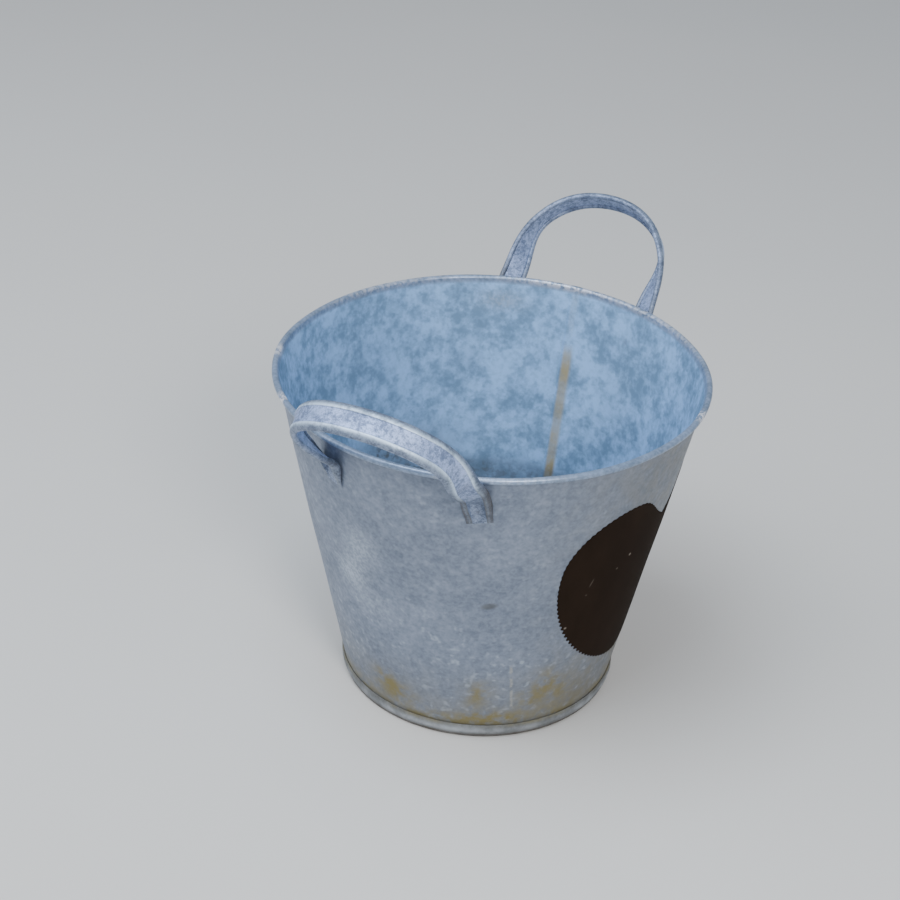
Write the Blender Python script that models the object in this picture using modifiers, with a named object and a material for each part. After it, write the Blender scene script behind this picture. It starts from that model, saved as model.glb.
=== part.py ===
"""Florist bucket: a tapered galvanised pail with two fixed strap handles.

The part stands on its foot at z = 0 with the bucket's axis on Z. The handles lean out
over the rim at -Y (front) and +Y (back), and the blackboard heart faces +X.

The sheet-metal pieces are turned profiles, the handles are lofts whose section changes
from a channel with thick edges to a flat tab, and the heart is cut out of a conical skin.
All lengths are in metres.
"""

import math

import bmesh
import bpy
import numpy as np
from mathutils import Matrix

# --- Driving dimensions -------------------------------------------------------------
HEIGHT = 0.2086            # from the floor to the top of the rim bead
RIM_RADIUS = 0.1256        # middle of the wall sheet, at the rim
FOOT_RADIUS = 0.0831       # middle of the wall sheet, carried down to the floor
SHEET = 0.0005             # thickness of the galvanised sheet
GAP = 0.0003               # clearance kept between neighbouring pieces
SEGMENTS = 72              # facets round the bucket

BEAD_RADIUS = 0.0019       # outside of the rolled rim bead
BEAD_TURN = math.radians(290)
BEAD_STEPS = 12
WIRE_STEPS = 8
WALL_BOTTOM = 0.0013       # where the wall's lower edge sits inside the foot seam

FLOOR_LEVEL = 0.0092       # middle of the bottom sheet
SEAM_TOP = 0.0098          # upper edge of the foot seam, outside
SEAM_ROLL = 0.0021         # radius of the roll under the foot
ROLL_STEPS = 4
SEAM_BULGE = 0.0006        # how far the roll stands out past the seam's upper edge
FOOT_FLAT = 0.0010         # width of the flat ring that the bucket stands on
SKIRT_FOOT = 0.0009        # height where the skirt inside the wall meets the roll

LOCK_WIDTH = 0.0060        # folded side seam, inside the wall at +Y
LOCK_DEPTH = 0.0009
LOCK_BOTTOM = 0.0130
LOCK_TOP = HEIGHT - 0.0070
WELD_TOLERANCE = 0.00001   # points closer than this are one point

STRAP_THICKNESS = 0.0008   # of the web, and of the whole strap on the flattened tabs
STRAP_HALF = 0.0086        # half width of the strap
STRAP_WEB = 0.0041         # half width of the flat web on its outer face
STRAP_CREST = 0.0048       # from the strap's middle to the crest of each edge
STRAP_HEIGHT = 0.0044      # of the crests over the edges' undersides
STRAP_DIP = 0.0005         # how far the web lies below the crests
EDGE_HALF = 0.0016         # half width of each thick edge, seen from inside the loop
EDGE_WAIST = 0.0015        # height of the strap's outermost line over the undersides
TAB_HALF = 0.0074          # half width of the flattened tab
RIDGE_FADE = 0.0150        # from the tab's end to where the edges have their full height
WEB_FADE = (0.0080, 0.0280)  # and the stretch over which the web rises off the wall
TAB_DROP = 0.0334          # from the rim down to the tab's end
TAB_FLUSH = 0.0180         # from the rim down to where the tab leaves the wall
TAB_LIFT = 0.0002          # how far the tab has left the wall by there
KNEE_DROP = 0.55           # the leg's knee, as shares of TAB_FLUSH and LEG_STANDOFF
KNEE_OUT = 0.33
LEG_SPREAD = 0.0449        # sideways distance of each leg at the rim
TAB_SPREAD = 0.0486        # the same round the wall at the tab's end
LEG_STANDOFF = 0.0138      # from the wall to the leg, level with the rim
LOOP_HEIGHT = 0.0583       # from the rim to the top of the loop, along its slope
LOOP_HALF = 0.0418         # half width of the loop at its widest
LOOP_WIDEST = 0.0318       # height of the widest place, along the slope
SHOULDER = (0.0238, 0.0525)
LEANS = {"back": math.radians(47.5), "front": math.radians(40.5)}
TURNS = {"back": 0.0, "front": math.radians(180.9)}
TWIST_START = 0.042        # distance from the loop's top where the strap starts to turn
TWIST_END = 0.107          # and where it lies flat on the wall
BLEND_BELOW = 0.0080       # the strap's outward direction follows the wall up to here
BLEND_SPAN = 0.0300        # under the rim, and the loop this much higher
STRAP_STATIONS = 61
ROUTE_SAMPLES = 801
CREST_POINTS = 5
UNDERSIDE_POINTS = 6

HEART_SKIN = 0.0003
HEART_BAND = (0.0120, 0.1886)  # heights between which its skin is turned
HEART_MIDDLE = 0.1030      # height on the wall that the heart is laid out from
LOBE_RADIUS = 0.0399
LOBE_OFFSET = 0.0393       # from the heart's axis to the middle of each lobe
LOBE_RISE = 0.0243         # from HEART_MIDDLE up to the middle of each lobe
SIDE_RADIUS = 0.0940       # radius of each side, from its lobe down to the tip
SIDE_TURN = math.radians(3.4)
LOBE_STEPS = 24
SIDE_STEPS = 14
FORM_PLACE = 0.0900        # where the solid that cuts the heart out stands on X
FORM_REACH = 0.0600        # and how far it reaches to either side of there

PART_NAME = "florist_bucket"
SLOPE = (RIM_RADIUS - FOOT_RADIUS) / HEIGHT


# --- Scene helpers ------------------------------------------------------------------
def clear_scene():
    """Remove every object of the file that this script is run in."""
    for item in list(bpy.data.objects):
        bpy.data.objects.remove(item, do_unlink=True)


def collection(name):
    """Add a collection to the scene."""
    group = bpy.data.collections.new(name)
    bpy.context.scene.collection.children.link(group)
    return group


def material(name, color, roughness, metallic):
    """A Principled material with one colour."""
    finish = bpy.data.materials.new(name)
    finish.use_nodes = True
    shader = finish.node_tree.nodes["Principled BSDF"]
    shader.inputs["Base Color"].default_value = (*color, 1.0)
    shader.inputs["Roughness"].default_value = roughness
    shader.inputs["Metallic"].default_value = metallic
    return finish


def mesh_object(name, points, faces, group, edges=()):
    """Put a mesh into a new object of the given collection."""
    mesh = bpy.data.meshes.new(name)
    mesh.from_pydata([tuple(p) for p in points], list(edges), list(faces))
    item = bpy.data.objects.new(name, mesh)
    group.objects.link(item)
    return item


def cutter(item):
    """Mark an object as a tool that isn't part of the model."""
    item.hide_render = True
    item.display_type = "WIRE"
    return item


def smooth(item, degrees=40):
    """Shade an object smooth, with its sharp edges kept."""
    item.data.shade_smooth()
    item.data.set_sharp_from_angle(angle=math.radians(degrees))


def bake(item):
    """Replace an object's mesh with its evaluated mesh, and drop the modifiers."""
    graph = bpy.context.evaluated_depsgraph_get()
    mesh = bpy.data.meshes.new_from_object(item.evaluated_get(graph))
    item.modifiers.clear()
    item.data = mesh


# --- Turned sheet metal -------------------------------------------------------------
def wall_radius(height):
    """Radius of the middle of the wall sheet at a height."""
    return FOOT_RADIUS + SLOPE * height


def arc(center, radius, start, end, steps):
    """Points of an arc in the profile plane, from angle start to angle end."""
    angles = np.linspace(start, end, steps + 1)
    return np.stack([center[0] + radius * np.cos(angles), center[1] + radius * np.sin(angles)], axis=1)


def thickened(middle, thickness):
    """Closed outline of a sheet whose middle line is given as profile points."""
    steps = np.diff(middle, axis=0)
    steps /= np.linalg.norm(steps, axis=1)[:, None]
    before = np.vstack([steps[:1], steps])
    after = np.vstack([steps, steps[-1:]])
    bisector = before + after
    bisector /= np.linalg.norm(bisector, axis=1)[:, None]
    normal = np.stack([-bisector[:, 1], bisector[:, 0]], axis=1)
    stretch = 1.0 / np.clip((bisector * after).sum(axis=1), 0.5, 1.0)
    offset = normal * (stretch * thickness / 2)[:, None]
    return np.vstack([middle + offset, (middle - offset)[::-1]])


def turned(name, outline, group, closed=True):
    """Turn a profile of (radius, height) points about Z with a Screw modifier."""
    points = [(radius, 0.0, height) for radius, height in outline]
    count = len(points)
    edges = [(i, i + 1) for i in range(count - 1)]
    if closed:
        edges.append((count - 1, 0))
    item = mesh_object(name, points, (), group, edges)
    screw = item.modifiers.new("turn", "SCREW")
    screw.angle = math.tau
    screw.steps = SEGMENTS
    screw.render_steps = SEGMENTS
    screw.use_merge_vertices = True
    screw.merge_threshold = WELD_TOLERANCE
    return item


def bead_center():
    """Profile position of the rim bead's axis."""
    height = HEIGHT - BEAD_RADIUS
    return wall_radius(height) + BEAD_RADIUS - SHEET / 2, height


def build_wall(group, tools, finish):
    """The tapered body sheet: rolled outward over the rim wire, with a folded side seam."""
    center = bead_center()
    bead_middle = BEAD_RADIUS - SHEET / 2
    curl = arc(center, bead_middle, math.pi, math.pi - BEAD_TURN, BEAD_STEPS)
    middle = np.vstack([[(wall_radius(WALL_BOTTOM), WALL_BOTTOM)], curl])
    wall = turned("bucket_wall", thickened(middle, SHEET)[::-1], group)
    bake(wall)
    wall.data.materials.append(finish)

    bpy.ops.mesh.primitive_cube_add(size=1.0)
    lock = bpy.context.object
    lock.name = "side_seam_form"
    for owner in list(lock.users_collection):
        owner.objects.unlink(lock)
    tools.objects.link(cutter(lock))
    depth = LOCK_DEPTH + SHEET / 2
    length = (LOCK_TOP - LOCK_BOTTOM) / math.cos(math.atan(SLOPE))
    height = (LOCK_TOP + LOCK_BOTTOM) / 2
    reach = (wall_radius(height) - depth / 2) * math.cos(math.pi / SEGMENTS)
    lock.matrix_world = (
        Matrix.Translation((0.0, reach, height))
        @ Matrix.Rotation(-math.atan(SLOPE), 4, "X")
        @ Matrix.Diagonal((LOCK_WIDTH, depth, length, 1.0))
    )
    bpy.context.view_layer.update()
    union = wall.modifiers.new("side seam", "BOOLEAN")
    union.operation = "UNION"
    union.solver = "EXACT"
    union.object = lock
    smooth(wall)
    return wall


def build_rim_wire(group, finish):
    """The wire that the rim is rolled round."""
    radius = BEAD_RADIUS - SHEET - GAP
    center = bead_center()
    ring = arc(center, radius, 0.0, -math.tau, WIRE_STEPS)[:-1]
    wire = turned("rim_wire", ring, group)
    bake(wire)
    wire.data.materials.append(finish)
    smooth(wire, 60)
    return wire


def build_bottom(group, finish):
    """The bottom pan: a disc whose edge folds down, under and up round the wall's edge."""
    inside = SHEET + GAP
    skirt_top = (wall_radius(FLOOR_LEVEL) - inside, FLOOR_LEVEL)
    skirt_foot = (wall_radius(SHEET) - inside, SKIRT_FOOT)
    roll_out = wall_radius(SEAM_ROLL) + inside + SEAM_BULGE
    roll_center = (roll_out - SEAM_ROLL + SHEET / 2, SEAM_ROLL)
    roll = arc(roll_center, SEAM_ROLL - SHEET / 2, -math.pi / 2, 0.0, ROLL_STEPS)
    flat_start = (roll[0][0] - FOOT_FLAT, SHEET / 2)
    seam_edge = (wall_radius(SEAM_TOP) + inside, SEAM_TOP)
    middle = np.vstack([[(0.0, FLOOR_LEVEL)], [skirt_top], [skirt_foot], [flat_start], roll, [seam_edge]])
    pan = turned("bottom_pan", thickened(middle, SHEET), group, closed=False)
    bake(pan)
    pan.data.materials.append(finish)
    smooth(pan)
    return pan


# --- Handles ------------------------------------------------------------------------
def natural_spline(knots, values, where):
    """Smooth curve through rows of values at the knots, read at the places in where."""
    count = len(knots)
    span = np.diff(knots)
    system = np.eye(count)
    target = np.zeros_like(values)
    for i in range(1, count - 1):
        system[i, i - 1:i + 2] = span[i - 1], 2 * (span[i - 1] + span[i]), span[i]
        target[i] = 6 * ((values[i + 1] - values[i]) / span[i] - (values[i] - values[i - 1]) / span[i - 1])
    bend = np.linalg.solve(system, target)
    index = np.clip(np.searchsorted(knots, where) - 1, 0, count - 2)
    h = span[index][:, None]
    a = (knots[index + 1] - where)[:, None]
    b = (where - knots[index])[:, None]
    cubic = (bend[index] * a ** 3 + bend[index + 1] * b ** 3) / (6 * h)
    from_left = (values[index] / h - bend[index] * h / 6) * a
    from_right = (values[index + 1] / h - bend[index + 1] * h / 6) * b
    return cubic + from_left + from_right


def smoothstep(value):
    """Ease from 0 to 1."""
    value = np.clip(value, 0.0, 1.0)
    return value * value * (3 - 2 * value)


def unit(rows):
    """Rows of vectors scaled to length one."""
    return rows / np.linalg.norm(rows, axis=1)[:, None]


def handle_route(lean):
    """Stations along a handle, in axes (sideways, outward, up): points and frames.

    The route starts at one tab's end, runs up the wall, leans out over the rim, goes
    round the loop and comes down the other side. Each station has the strap's outer
    normal and its width direction, which turns from the loop's plane to the wall's.
    """
    contact = SHEET / 2 + GAP

    def on_wall(sideways, drop, standoff):
        height = HEIGHT - drop
        radius = wall_radius(height) + contact + standoff
        turn = sideways / RIM_RADIUS
        return radius * math.sin(turn), radius * math.cos(turn), height

    rim_reach = math.sqrt(RIM_RADIUS ** 2 - LEG_SPREAD ** 2) + LEG_STANDOFF

    def in_loop(sideways, rise):
        return sideways, rim_reach + rise * math.sin(lean), HEIGHT + rise * math.cos(lean)

    flush_middle = (TAB_DROP + TAB_FLUSH) / 2
    half = [
        on_wall(TAB_SPREAD, TAB_DROP, 0.0),
        on_wall((TAB_SPREAD * 2 + LEG_SPREAD) / 3, flush_middle, 0.0),
        on_wall((TAB_SPREAD + LEG_SPREAD * 2) / 3, TAB_FLUSH, TAB_LIFT),
        on_wall(LEG_SPREAD, TAB_FLUSH * KNEE_DROP, LEG_STANDOFF * KNEE_OUT),
        in_loop(LEG_SPREAD, 0.0),
        in_loop(LOOP_HALF, LOOP_WIDEST),
        in_loop(*SHOULDER),
    ]
    other = [(-x, y, z) for x, y, z in reversed(half)]
    route = np.array(half + [in_loop(0.0, LOOP_HEIGHT)] + other)
    knots = np.concatenate([[0.0], np.cumsum(np.linalg.norm(np.diff(route, axis=0), axis=1))])
    fine = natural_spline(knots, route, np.linspace(0.0, knots[-1], ROUTE_SAMPLES))
    length = np.concatenate([[0.0], np.cumsum(np.linalg.norm(np.diff(fine, axis=0), axis=1))])
    even = np.linspace(0.0, length[-1], STRAP_STATIONS)
    points = np.stack([np.interp(even, length, fine[:, axis]) for axis in range(3)], axis=1)
    tangent = unit(np.gradient(points, axis=0))

    inward = np.array([0.0, -math.cos(lean), math.sin(lean)])
    arch = unit(np.cross(tangent, inward))
    arch *= np.sign(arch[STRAP_STATIONS // 2, 2])
    radius = np.hypot(points[:, 0], points[:, 1])
    fall = np.full(len(points), -SLOPE)
    wall_normal = np.stack([points[:, 0] / radius, points[:, 1] / radius, fall], axis=1)
    above = smoothstep((points[:, 2] - HEIGHT + BLEND_BELOW) / BLEND_SPAN)[:, None]
    outward = wall_normal * (1 - above) - inward * above
    outward = unit(outward - (outward * tangent).sum(axis=1)[:, None] * tangent)

    from_top = np.abs(even - length[-1] / 2)
    twist = math.pi / 2 * smoothstep((from_top - TWIST_START) / (TWIST_END - TWIST_START))
    normal = np.cos(twist)[:, None] * arch + np.sin(twist)[:, None] * outward
    normal = unit(normal - (normal * tangent).sum(axis=1)[:, None] * tangent)
    width = np.cross(normal, tangent)
    from_end = length[-1] / 2 - from_top
    return points, normal, width, from_end


def strap_section(ridge, web):
    """Outline of the strap across its width, as (across, out).

    From the middle of the outer face: the flat web, a quarter ellipse from the crest to
    the outermost line, half an ellipse round the thick edge's underside, and the web's
    inner face. The share ridge flattens the edges towards the tab's thin sheet and the
    share web does the same to the web.
    """
    crest = STRAP_THICKNESS + (STRAP_HEIGHT - STRAP_THICKNESS) * ridge
    level = STRAP_THICKNESS + (STRAP_HEIGHT - STRAP_DIP - STRAP_THICKNESS) * web
    waist = STRAP_THICKNESS / 2 + (EDGE_WAIST - STRAP_THICKNESS / 2) * ridge
    shrink = (TAB_HALF + (STRAP_HALF - TAB_HALF) * ridge) / STRAP_HALF
    flank = arc((0.0, 0.0), 1.0, math.pi / 2, 0.0, CREST_POINTS - 1)
    flank = flank * (STRAP_HALF - STRAP_CREST, crest - waist) + (STRAP_CREST, waist)
    under = arc((0.0, 0.0), 1.0, 0.0, -math.pi, UNDERSIDE_POINTS)[1:]
    under = under * (EDGE_HALF, waist) + (STRAP_HALF - EDGE_HALF, waist)
    under[-1, 1] = waist * ridge * web
    root = ((STRAP_HALF - 2 * EDGE_HALF + STRAP_CREST) / 2, level - STRAP_THICKNESS)
    right = np.vstack([[(STRAP_WEB, level)], flank, under, [root]]) * (shrink, 1.0)
    left = right[::-1] * (-1, 1)
    return np.vstack([right, left])


def build_handle(side, group, finish):
    """One strap handle: a channel strap bent to a loop, its ends twisted flat on the wall."""
    points, normal, width, from_end = handle_route(LEANS[side])
    ridges = smoothstep(from_end / RIDGE_FADE)
    webs = smoothstep((from_end - WEB_FADE[0]) / (WEB_FADE[1] - WEB_FADE[0]))
    rings = []
    for index in range(STRAP_STATIONS):
        outline = strap_section(ridges[index], webs[index])
        rings.append(points[index] + outline[:, :1] * width[index] + outline[:, 1:] * normal[index])
    rings = np.array(rings)
    turn = Matrix.Rotation(TURNS[side], 3, "Z")
    rings = rings @ np.array(turn).T

    stations, count = rings.shape[:2]
    faces = []
    for i in range(stations - 1):
        for j in range(count):
            k = (j + 1) % count
            faces.append((i * count + j, i * count + k, (i + 1) * count + k, (i + 1) * count + j))
    faces.append(tuple(reversed(range(count))))
    faces.append(tuple(range((stations - 1) * count, stations * count)))
    handle = mesh_object(f"handle_{side}", rings.reshape(-1, 3), faces, group)
    form = bmesh.new()
    form.from_mesh(handle.data)
    bmesh.ops.recalc_face_normals(form, faces=form.faces)
    form.to_mesh(handle.data)
    form.free()
    handle.data.materials.append(finish)
    smooth(handle, 50)
    return handle


# --- Blackboard heart ---------------------------------------------------------------
def heart_outline():
    """Heart in the plane of the unrolled wall, as (sideways, up) offsets.

    Each half is an arc for the lobe, from the notch on the axis round to its far side,
    and a wider arc that runs on without a corner from there to the tip on the axis.
    """
    lobe = (LOBE_OFFSET, LOBE_RISE)
    notch = math.pi - math.acos(LOBE_OFFSET / LOBE_RADIUS)
    crown = arc(lobe, LOBE_RADIUS, notch, -SIDE_TURN, LOBE_STEPS)
    reach = SIDE_RADIUS - LOBE_RADIUS
    side = (LOBE_OFFSET - reach * math.cos(SIDE_TURN), LOBE_RISE + reach * math.sin(SIDE_TURN))
    tip = -math.acos(-side[0] / SIDE_RADIUS)
    flank = arc(side, SIDE_RADIUS, -SIDE_TURN, tip, SIDE_STEPS)
    right = np.vstack([crown, flank[1:]])
    left = right[-2:0:-1] * (-1, 1)
    return np.vstack([right, left])


def build_heart(group, tools, finish):
    """The thin blackboard skin on the wall: a conical shell cut to a heart."""
    inner = SHEET / 2 + GAP
    outer = inner + HEART_SKIN
    bottom, top = HEART_BAND
    outline = [
        (wall_radius(top) + outer, top),
        (wall_radius(bottom) + outer, bottom),
        (wall_radius(bottom) + inner, bottom),
        (wall_radius(top) + inner, top),
    ]
    heart = turned("blackboard_heart", outline, group)
    bake(heart)

    tilt = math.atan(SLOPE)
    to_middle = wall_radius(HEART_MIDDLE) / math.sin(tilt)
    profile = []
    for sideways, up in heart_outline():
        slant = math.hypot(sideways, to_middle + up)
        turn = math.atan2(sideways, to_middle + up) / math.sin(tilt)
        radius = slant * math.sin(tilt)
        profile.append((radius * math.sin(turn), (radius - FOOT_RADIUS) / SLOPE))
    curve = bpy.data.curves.new("heart_form", "CURVE")
    curve.dimensions = "2D"
    curve.fill_mode = "BOTH"
    curve.extrude = FORM_REACH
    line = curve.splines.new("POLY")
    line.points.add(len(profile) - 1)
    for point, (sideways, height) in zip(line.points, profile):
        point.co = (sideways, height, 0.0, 1.0)
    line.use_cyclic_u = True
    source = bpy.data.objects.new("heart_curve", curve)
    tools.objects.link(source)
    upright = Matrix(((0, 0, 1, 0), (1, 0, 0, 0), (0, 1, 0, 0), (0, 0, 0, 1)))
    source.matrix_world = Matrix.Translation((FORM_PLACE, 0.0, 0.0)) @ upright
    bpy.context.view_layer.update()
    graph = bpy.context.evaluated_depsgraph_get()
    mesh = bpy.data.meshes.new_from_object(source.evaluated_get(graph))
    form = bmesh.new()
    form.from_mesh(mesh)
    bmesh.ops.remove_doubles(form, verts=form.verts, dist=WELD_TOLERANCE)
    bmesh.ops.recalc_face_normals(form, faces=form.faces)
    form.to_mesh(mesh)
    form.free()
    prism = bpy.data.objects.new("heart_cutter", mesh)
    tools.objects.link(cutter(prism))
    prism.matrix_world = source.matrix_world.copy()
    bpy.data.objects.remove(source, do_unlink=True)

    bpy.context.view_layer.update()
    cut = heart.modifiers.new("heart outline", "BOOLEAN")
    cut.operation = "INTERSECT"
    cut.solver = "EXACT"
    cut.object = prism
    heart.data.materials.append(finish)
    return heart


# --- The whole bucket ---------------------------------------------------------------
def main():
    clear_scene()
    parts = collection(PART_NAME)
    tools = collection(f"{PART_NAME}_cutters")

    wall_zinc = material("wall_zinc", (0.36, 0.42, 0.48), 0.48, 0.85)
    wire_steel = material("wire_steel", (0.45, 0.47, 0.50), 0.40, 0.95)
    pan_zinc = material("pan_zinc", (0.40, 0.46, 0.52), 0.45, 0.85)
    strap_zinc = material("strap_zinc", (0.48, 0.54, 0.62), 0.38, 0.90)
    blackboard = material("blackboard", (0.020, 0.016, 0.014), 0.85, 0.0)

    build_wall(parts, tools, wall_zinc)
    build_rim_wire(parts, wire_steel)
    build_bottom(parts, pan_zinc)
    for side in LEANS:
        build_handle(side, parts, strap_zinc)
    build_heart(parts, tools, blackboard)


main()
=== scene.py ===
"""Looks of the florist bucket: fine sheet-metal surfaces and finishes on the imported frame.

The bucket stands at z = 0 on its axis. The front handle leans out at -Y, the back handle
at +Y, and the blackboard heart faces +X. All lengths are in metres, all angles in radians
unless a name ends in _deg. Heights are above the floor; azimuths start at +X and turn
towards +Y.
"""

import logging
import math
from dataclasses import dataclass, field
from enum import Enum
from typing import Dict, Optional, Sequence, Tuple

import bmesh
import bpy
import numpy as np
from mathutils import Matrix, Vector


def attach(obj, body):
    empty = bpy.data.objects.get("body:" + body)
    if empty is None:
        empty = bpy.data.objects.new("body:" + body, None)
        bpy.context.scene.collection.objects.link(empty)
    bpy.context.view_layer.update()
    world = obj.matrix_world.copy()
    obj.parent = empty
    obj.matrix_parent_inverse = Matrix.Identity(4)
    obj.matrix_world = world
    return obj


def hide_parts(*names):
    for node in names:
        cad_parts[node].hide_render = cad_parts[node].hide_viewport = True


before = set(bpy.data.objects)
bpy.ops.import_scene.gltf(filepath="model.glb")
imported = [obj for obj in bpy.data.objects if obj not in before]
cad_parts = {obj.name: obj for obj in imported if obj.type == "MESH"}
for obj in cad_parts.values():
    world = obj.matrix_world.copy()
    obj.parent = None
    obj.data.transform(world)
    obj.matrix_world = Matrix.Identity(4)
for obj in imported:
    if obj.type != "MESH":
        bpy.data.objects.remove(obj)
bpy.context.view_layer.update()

Array = np.ndarray
Colour = Tuple[float, float, float]
Socket = bpy.types.NodeSocket

log = logging.getLogger("florist_bucket")


# ------------------------------------------------------------------ numbers as curves
def smoothstep(value: Array) -> Array:
    """Ease from 0 to 1: three times the square less twice the cube, held past both ends."""
    value = np.clip(value, 0.0, 1.0)
    return value * value * (3 - 2 * value)


def plateau(offset: Array, half: float, edge: float) -> Array:
    """One inside half of the middle, falling to zero over the width of the edge."""
    return smoothstep((half + edge / 2 - np.abs(offset)) / edge)


def hump(offset: Array, width: float) -> Array:
    """Bell curve of height one: e to the minus square of offset over width."""
    return np.exp(-((offset / width) ** 2))


def turn_between(azimuth: Array, middle: float) -> Array:
    """Signed angle from a middle azimuth, wrapped to within half a turn."""
    return (azimuth - middle + math.pi) % math.tau - math.pi


def unit(rows: Array) -> Array:
    """Rows of vectors, each divided by its length."""
    return rows / np.linalg.norm(rows, axis=-1, keepdims=True)


def arc(center: Tuple[float, float], radii: Tuple[float, float], start: float, end: float,
        count: int) -> Array:
    """Points of an upright ellipse: centre plus radii times cosine and sine of the angle.

    Args:
        center: Middle of the ellipse.
        radii: Half its width and half its height.
        start: First angle.
        end: Last angle.
        count: Number of points.

    Returns:
        One row of two coordinates per point.
    """
    angle = np.linspace(start, end, count)
    return np.stack([center[0] + radii[0] * np.cos(angle), center[1] + radii[1] * np.sin(angle)], axis=1)


def thickened(middle: Array, thickness: float) -> Array:
    """Closed outline of a sheet from its middle line.

    Each point steps half the thickness to either side along the bisector of its two
    neighbouring steps, stretched so that the flat stretches keep their full thickness.

    Args:
        middle: Profile points along the sheet.
        thickness: Thickness of the sheet.

    Returns:
        The points of one side in order, then those of the other side backwards.
    """
    steps = unit(np.diff(middle, axis=0))
    before = np.vstack([steps[:1], steps])
    after = np.vstack([steps, steps[-1:]])
    bisector = unit(before + after)
    normal = np.stack([-bisector[:, 1], bisector[:, 0]], axis=1)
    stretch = 1.0 / np.clip((bisector * after).sum(axis=1), 0.5, 1.0)
    offset = normal * (stretch * thickness / 2)[:, None]
    return np.vstack([middle + offset, (middle - offset)[::-1]])


def natural_spline(knots: Array, values: Array, where: Array) -> Array:
    """Cubic spline with no bend at its ends, through rows of values at the knots.

    The bends at the knots solve the usual tridiagonal system; between two knots the
    curve is the chord plus the cubes of the two distances, weighted by those bends.

    Args:
        knots: Rising places of the known rows.
        values: One row per knot.
        where: Places to read the curve at.

    Returns:
        One row per place.
    """
    count = len(knots)
    span = np.diff(knots)
    slope = np.diff(values, axis=0) / span[:, None]
    system = np.eye(count)
    inner = np.arange(1, count - 1)
    system[inner, inner - 1] = span[:-1]
    system[inner, inner] = 2 * (span[:-1] + span[1:])
    system[inner, inner + 1] = span[1:]
    target = np.zeros_like(values)
    target[1:-1] = 6 * (slope[1:] - slope[:-1])
    bend = np.linalg.solve(system, target)
    index = np.clip(np.searchsorted(knots, where) - 1, 0, count - 2)
    h = span[index][:, None]
    a = (knots[index + 1] - where)[:, None]
    b = (where - knots[index])[:, None]
    cubic = (bend[index] * a ** 3 + bend[index + 1] * b ** 3) / (6 * h)
    near = (values[index] / h - bend[index] * h / 6) * a
    far = (values[index + 1] / h - bend[index + 1] * h / 6) * b
    return cubic + (near + far)


# ------------------------------------------------------------------ meshes from arrays
def grid_faces(rows: int, columns: int, wrap_rows: bool, wrap_columns: bool) -> Array:
    """Quads of a grid whose points are numbered row by row.

    Args:
        rows: Number of rows.
        columns: Number of columns.
        wrap_rows: Whether the last row joins the first.
        wrap_columns: Whether the last column joins the first.

    Returns:
        Four point numbers per face.
    """
    i = np.arange(rows if wrap_rows else rows - 1)[:, None]
    j = np.arange(columns if wrap_columns else columns - 1)[None, :]
    i_next = (i + 1) % rows
    j_next = (j + 1) % columns
    corners = (i * columns + j, i * columns + j_next, i_next * columns + j_next, i_next * columns + j)
    return np.stack([np.broadcast_to(corner, (i.size, j.size)) for corner in corners], axis=-1).reshape(-1, 4)


def fan_faces(hub: int, ring: Array) -> Array:
    """Triangles from one point to each step of a closed ring of point numbers."""
    return np.stack([np.full(len(ring), hub), ring, np.roll(ring, -1)], axis=1)


def new_piece(name: str, points: Array, faces: Sequence[Array], marks: Optional[Dict[str, Array]] = None,
              sharp_deg: float = 40.0) -> bpy.types.Object:
    """Put a closed surface into the scene as one object at the origin.

    Args:
        name: Name of the object.
        points: One row of three coordinates per point.
        faces: Arrays of faces, each with a fixed number of corners.
        marks: Named value per point, stored for the finish to read.
        sharp_deg: Edges that bend by more than this stay sharp.

    Returns:
        The object, with its faces pointing outwards.
    """
    mesh = bpy.data.meshes.new(name)
    mesh.from_pydata(points.tolist(), [], [face for group in faces for face in group.tolist()])
    form = bmesh.new()
    form.from_mesh(mesh)
    bmesh.ops.recalc_face_normals(form, faces=form.faces)
    form.to_mesh(mesh)
    form.free()
    for label, values in (marks or {}).items():
        layer = mesh.attributes.new(label, "FLOAT", "POINT")
        layer.data.foreach_set("value", np.clip(values, 0.0, 1.0).astype(np.float32).ravel())
    mesh.shade_smooth()
    mesh.set_sharp_from_angle(angle=math.radians(sharp_deg))
    piece = bpy.data.objects.new(name, mesh)
    bpy.context.scene.collection.objects.link(piece)
    return piece


def hand_over(piece: bpy.types.Object, node: str) -> None:
    """Tell the frame which node a piece stands for, and report it.

    Args:
        piece: Finished piece.
        node: CAD node that it replaces.
    """
    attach(piece, "root")
    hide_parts(node)
    log.info("%s: %d points, %d faces", piece.name, len(piece.data.vertices), len(piece.data.polygons))


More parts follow.
